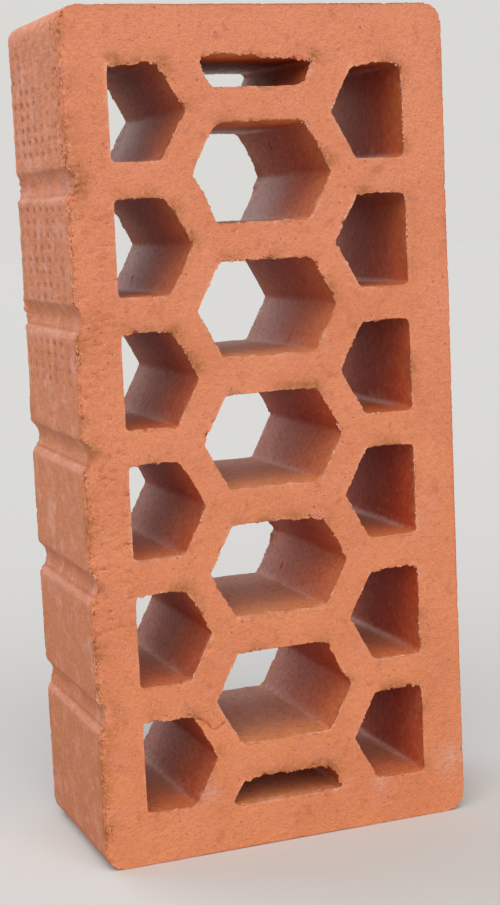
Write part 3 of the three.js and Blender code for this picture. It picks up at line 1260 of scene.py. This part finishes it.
hole_depth = clay.climb(through, -27.0, 27.0)
shaded_wall = clay.make("ShaderNodeValToRGB", {"stops": SHADED_WALL}, {0: hole_depth})
low_hole = 1 - clay.rise(upright, 100, 180)
shaded_wall = clay.blend(low_hole * 0.9, shaded_wall, LOW_HOLE_TINT, mode="MULTIPLY")

sky_lit_wall = clay.make("ShaderNodeValToRGB", {"stops": SKY_LIT_WALL}, {0: hole_depth})
# Painted shade at the front of the left holes' flanks, where their left wall would shade them.
left_mouth_shade = (1 - clay.rise(across, -22, -18)) * (1 - clay.rise(through, -20, -7))
left_mouth_shade = left_mouth_shade * (0.7 - clay.rise(upright, 138, 160) * 0.3)
left_mouth_shade = left_mouth_shade * (1 - mark("ledge") * 0.8)
sky_lit_wall = clay.lay(sky_lit_wall, [(left_mouth_shade, (164, 70, 28))])
low_mouth = clay.rise(off_centre, 18, 22) * (1 - clay.rise(upright, 130, 160))
low_mouth = low_mouth * (1 - clay.rise(through, -15, -2)) * 0.8
sky_lit_wall = clay.blend(low_mouth, sky_lit_wall, LOW_MOUTH_TINT, mode="MULTIPLY")

# Painted sky light: faces that look up take the paler ramp.
hole_colour = clay.blend(mark("dust"), shaded_wall, sky_lit_wall)
# Painted light on the floors: golden at the front, where light falls in at the mouth, paler
# deeper in.
deeper = clay.rise(through, -24, -10)
floor_light_colour = clay.blend(deeper, colour(225, 155, 103), colour(212, 161, 132))
hole_colour = clay.blend(mark("silt") * 0.5, hole_colour, floor_light_colour)
# Painted cool light from behind: faces that look up in the upper holes are greyer and paler
# deeper in.
painted_back_light = mark("dust") * clay.rise(upright, 115, 165) * clay.rise(through, -6, 12)
# The fold line is a painted highlight.
hole_colour = clay.lay(
    hole_colour, [(mark("fold") * 0.65, (222, 172, 156)), (painted_back_light * 0.85, (196, 164, 154))]
)
tell("hole colours")

# %% [markdown]
# ### Cut clay and slid skin
# Cut clay is orange. The outer skins are browner, and turn pinker and paler towards the
# upper end. Each is a blend along the height, and the masks choose between them. Rubble
# is cut clay too, because the skin is gone there.

# %% Colour the cut clay and the skins
CUT_LOW, CUT_TOP = colour(229, 143, 100), colour(231, 146, 111)
SKIN_LOW, SKIN_TOP = colour(190, 114, 72), colour(222, 138, 97)

height_share = clay.climb(upright, 20.0, 210.0)
cut_colour = clay.blend(height_share, CUT_LOW, CUT_TOP)
skin_colour = clay.blend(height_share, SKIN_LOW, SKIN_TOP)
# Painted highlight on the grooves' lower lips.
skin_colour = clay.lay(skin_colour, [(mark("lip") * 0.6, (228, 162, 140))])
skin_colour = clay.blend(hole_wall, skin_colour, hole_colour)
rubble = clay.rise(mark("broken") + clay.lumps(place, 1.3, 3.0) * 0.5, 0.65, 0.8)
cut_clay = cut_face.math("MAXIMUM", cut_face, rubble)
base = clay.blend(cut_clay, skin_colour, cut_colour)
tell("base colour")

# %% [markdown]
# ### Mottling
# Clay is never one colour: the batch was mixed from several, and the kiln's draught
# wandered over it. One noise looks like a pattern, so several of different sizes lie on
# one another: slow mottling first, then warm clouds and brown blotches, and on the cut
# faces some darker stains and the rubbed chalk.

# %% Mottle the clay
mottle = clay.lumps(place, 26.0, 3.0)
warm = clay.lumps(place, 6.0, 4.0, 0.6)
blotch = clay.lumps(place, 3.4, 3.0, 0.55)
stain = clay.lumps(place, 9.0, 2.0, 0.6)
chalk = mark("chalk") * clay.rise(clay.lumps(place, 1.6, 3.0, 0.6), 0.3, 0.6)
base = clay.lay(
    base,
    [
        # share, colour
        (clay.rise(mottle, 0.35, 0.7) * 0.38, (206, 120, 84)),
        (clay.rise(warm, 0.48, 0.76) * (cut_clay * 0.9 + 0.1) * 0.65, (226, 144, 116)),
        (clay.rise(blotch, 0.58, 0.76) * 0.38, (176, 104, 72)),
        (clay.rise(stain, 0.62, 0.74) * cut_clay * 0.42, (170, 98, 64)),
        (chalk * 0.6, (226, 176, 160)),
    ],
)
tell("mottling")

# %% [markdown]
# The skins slid along the die, so their spots are drawn out along the brick's depth. Rosy
# and tawny clouds lie under a speckle and fine slid streaks, both with a dark and a pale
# side. The upper panels, which the roller pressed, are the most speckled.

# %% Streak the outer skins
on_skin = (1 - cut_clay) * (1 - hole_wall)
textured = on_skin * (0.6 + clay.rise(upright, 100, 190) * 0.4)
rosier = on_skin * (0.4 + clay.rise(upright, 15, 110) * 0.35)
rosy = clay.lumps(place, 7.0, 4.0, 0.6)
tawny = clay.lumps(clay.stretched(place, (1.0, 0.6, 1.0)), 5.0, 4.0, 0.65)
speckle = clay.lumps(clay.stretched(place, (1.0, 0.7, 1.0)), 2.6, 4.0, 0.7)
slid = clay.lumps(clay.stretched(place, (1.0, 0.25, 1.0)), 1.0, 4.0, 0.7)
base = clay.lay(
    base,
    [
        (clay.rise(rosy, 0.48, 0.7) * rosier, (222, 156, 136)),
        (clay.rise(tawny, 0.5, 0.72) * on_skin * 0.65, (178, 112, 74)),
        (clay.rise(speckle, 0.54, 0.7) * textured * 0.6, (176, 108, 74)),
        ((1 - clay.rise(speckle, 0.3, 0.46)) * textured * 0.6, (228, 164, 140)),
        (clay.rise(slid, 0.5, 0.75) * textured * 0.65, (172, 104, 72)),
        ((1 - clay.rise(slid, 0.25, 0.48)) * textured * 0.5, (232, 168, 142)),
    ],
)
tell("skin streaks")

# %% [markdown]
# The hole walls keep the marks of the cores: small jerks, dark and pale, and dark flecks.
# A wall in shadow would look painted without them. The painted reflection on the highest
# ceilings is streaked, as the clay slid there.

# %% Streak the hole walls
in_hole = hole_wall * (1 - cut_clay)
jerks = clay.lumps(clay.stretched(place, (1.0, 0.45, 0.5)), 0.9, 4.0, 0.7)
flecks = clay.lumps(clay.stretched(place, (1.0, 1.0, 0.5)), 1.1, 2.0, 0.6)
streaks = clay.lumps(clay.stretched(place, (1.0, 0.12, 1.0)), 1.2, 3.0, 0.6)
# Painted reflection on the highest ceilings, streaked.
bloom = mark("bloom") * (clay.rise(streaks, 0.35, 0.6) * 0.7 + 0.3)
base = clay.lay(
    base,
    [
        (clay.rise(jerks, 0.48, 0.72) * in_hole * 0.55, (122, 66, 48)),
        ((1 - clay.rise(jerks, 0.28, 0.5)) * in_hole * 0.4, (212, 140, 108)),
        (clay.rise(flecks, 0.66, 0.74) * in_hole * 0.5, (96, 50, 40)),
        (bloom, (240, 226, 218)),
    ],
)
tell("wall streaks")

# %% [markdown]
# ### The marks
# Now the marks are laid over the clay: the smear, partly painted shade, broken up by noise,
# the painted shade in dimples and creases, the painted highlight on the rims that the wire
# entered with the worn back edge, and the dark and pale bits in the rubble. They come after
# the mottling, because they lie on top of it.

# %% Lay the marks over the clay
# The smear, partly painted shade above the rims that the wire left.
broken_smear_and_shade = mark("smear") * clay.rise(clay.lumps(place, 1.4, 3.0, 0.6), 0.25, 0.55)
bits = clay.lumps(clay.stretched(place, (0.6, 0.5, 1.0)), 1.3, 2.0, 0.6)
base = clay.lay(
    base,
    [
        (broken_smear_and_shade * 0.74, (160, 100, 54)),
        # painted shade in the dents and creases
        (mark("dirt") * 0.7, (142, 80, 52)),
        # painted highlight on the rims that the wire entered, and wear on the back edge
        (mark("worn") * 0.75, (244, 186, 156)),
        (clay.rise(bits, 0.62, 0.68) * rubble * 0.7, (158, 94, 54)),
        ((1 - clay.rise(bits, 0.34, 0.42)) * rubble * 0.5, (240, 166, 128)),
    ],
)
tell("marks")

# %% [markdown]
# ### Sand and grits
# The clay was tempered with sand, which shows as fine dark and pale grains. Grits are
# coarser and come from two Voronoi patterns. The distance to a cell's centre gives a round
# grain, and the cell's random colour decides whether the cell has one at all.

# %% Add sand and grits
GRIT_BEND = (0.9, 0.9, 0.9)
GRIT_EDGE = 0.02


def grits(size, share, radius):
    """A mask of round grains, one in some of the cells of this size in mm."""
    noise_inputs = {"Vector": place, "Scale": 1.5}
    bent = clay.make("ShaderNodeTexNoise", None, noise_inputs, output="Color")
    bent = clay.stretched(bent, GRIT_BEND)
    askew = clay.make("ShaderNodeVectorMath", {"operation": "ADD"}, {0: place, 1: bent})
    where = {"Vector": askew, "Scale": 1 / size, "Randomness": 1.0}
    gap = clay.make("ShaderNodeTexVoronoi", None, where)
    lottery = clay.make("ShaderNodeSeparateColor", None, {0: gap.beside("Color")})
    drawn = clay.rise(lottery, 1 - share, 1 - share + GRIT_EDGE)
    return (1 - clay.rise(gap, radius * 0.5, radius)) * drawn


sand = clay.lumps(place, 0.6, 3.0, 0.8)
sandy = 0.7 + cut_face * 0.3
pale_grit = grits(0.8, 0.26, 0.24)
dark_grit = grits(1.6, 0.07, 0.22)
base = clay.lay(
    base,
    [
        ((1 - clay.rise(sand, 0.28, 0.5)) * sandy * 0.4, (160, 86, 58)),
        (clay.rise(sand, 0.54, 0.76) * sandy * 0.55, (240, 166, 130)),
        (pale_grit * (0.15 + cut_clay * 0.4), (250, 192, 158)),
        (dark_grit * (0.2 + cut_clay * 0.35), (146, 82, 54)),
        (mark("pale_crumb"), (252, 204, 172)),
        (mark("brown_crumb") * 0.8, (134, 76, 44)),
    ],
)
tell("sand and grits")

# %% [markdown]
# ## Touch
# Fired clay is matt. Roughness stays high and only the slid skins come down a little.
# Bump carries what is too fine for the mesh: the torn grain on the cut faces, much less
# of it on the skins, and a hole for each dark grit.

# %% Finish the material
SKIN_ROUGHNESS, CUT_ROUGHER = 0.62, 0.3
SHEEN_LEVEL = 0.15
GRAIN_HEIGHT = 0.0006

fine = clay.lumps(place, 0.5, 4.0, 0.65)
coarse = clay.lumps(place, 1.7, 3.0)
relief = (fine * 1.05 + coarse * 0.9) * (0.35 + cut_clay * 0.65)
relief = relief - dark_grit * 0.5 + pale_grit * 0.2
relief = relief + jerks * in_hole * 0.4 + (slid + speckle) * textured * 0.75
bump = clay.make(
    "ShaderNodeBump", None, {"Strength": 0.8, "Distance": GRAIN_HEIGHT, "Height": relief}
)
shader = clay.make(
    "ShaderNodeBsdfPrincipled",
    None,
    {
        "Base Color": base,
        "Roughness": SKIN_ROUGHNESS + cut_clay * CUT_ROUGHER,
        "Specular IOR Level": SHEEN_LEVEL,
        "Normal": bump,
    },
)
clay.make("ShaderNodeOutputMaterial", None, {"Surface": shader})

for piece in (brick, crumbs):
    piece.data.materials.clear()
    piece.data.materials.append(fired_clay)
tell("fired clay")

# %% [markdown]
# ## To the frame
# The dressed brick takes the plain solid's place, and the crumbs ride along with it. Both
# are the same fired clay.

# %% Hand the pieces to the frame
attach(brick, "root")
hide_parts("brick")
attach(crumbs, "root")
print("pieces:", brick.name, "and", crumbs.name)

# %% [markdown]
# ## The studio
# The floor is pale paper and only keeps the shadow. Paper that is as light as it looks
# would throw too much light up at the brick, so it is a little darker for light that
# bounces than for the camera. That is done with the ray type.

# %% Lay the floor
FLOOR_RADIUS = 6
PAPER_LIT, PAPER_SEEN = colour(184, 180, 175), colour(206, 204, 201)

bpy.ops.object.select_all(action="DESELECT")
bpy.ops.mesh.primitive_circle_add(vertices=64, radius=FLOOR_RADIUS, fill_type="NGON")
floor = bpy.context.active_object
floor.name = "floor"
floor_paper = bpy.data.materials.new("floor_paper")
paper = Recipe(floor_paper)
paper_shader = paper.make(
    "ShaderNodeBsdfPrincipled",
    None,
    {
        "Base Color": paper.blend(paper.seen_ray(), PAPER_LIT, PAPER_SEEN),
        "Roughness": 0.9,
        "Specular IOR Level": 0.1,
    },
)
paper.make("ShaderNodeOutputMaterial", None, {"Surface": paper_shader})
floor.data.materials.append(floor_paper)
print("floor laid, with a radius of", FLOOR_RADIUS, "m")

# %% [markdown]
# The room itself glows, so that the holes are lit from behind too. For the camera the
# room is plain and pale, again by the ray type, so it adds no light.

# %% Light the room
ROOM_LIGHT = 0.42
ROOM_WHITE = (1.0, 1.0, 1.0, 1.0)
ROOM_SEEN = colour(218, 217, 214)

world = bpy.data.worlds.new("room")
bpy.context.scene.world = world
room = Recipe(world)
glow = room.make("ShaderNodeBackground", None, {"Color": ROOM_WHITE, "Strength": ROOM_LIGHT})
seen = room.make("ShaderNodeBackground", None, {"Color": ROOM_SEEN})
either = room.make("ShaderNodeMixShader", None, {0: room.seen_ray(), 1: glow, 2: seen})
room.make("ShaderNodeOutputWorld", None, {"Surface": either})
bpy.context.scene.view_settings.view_transform = "Standard"
print("room light", ROOM_LIGHT)

# %% [markdown]
# Two broad lamps shape the brick. The front one is warm and comes from high behind the
# camera. The back one is cool and weaker, and shines through the holes onto their floors.
# Area lamps would do too, but they light what is nearer to them more. A sun lights every
# part of the brick alike, and a wide one makes soft shadows.

# %% Hang the lamps
def add_sun(name, came_from, energy, spread, tint):
    """A lamp like the sun: where its light comes from, its strength and its softness."""
    bpy.ops.object.select_all(action="DESELECT")
    bpy.ops.object.light_add(type="SUN", location=came_from)
    lamp = bpy.context.active_object
    lamp.name = name
    lamp.rotation_euler = Vector(came_from).to_track_quat("Z", "Y").to_euler()
    lamp.data.energy = energy
    lamp.data.angle = math.radians(spread)
    lamp.data.color = tint
    print(name, "shines with", energy, "over", spread, "degrees")


add_sun("front_lamp", (-0.32, -1.0, 0.92), 2.55, 75, (1.0, 0.98, 0.95))
add_sun("back_lamp", (-0.60, 1.0, 0.80), 1.3, 60, (0.78, 0.88, 1.0))

# %% [markdown]
# ## The size
# The dressed brick may not outgrow the solid it stands for, so its points were clipped to
# the solid's box when the skin was written back, and so were the crumbs'.
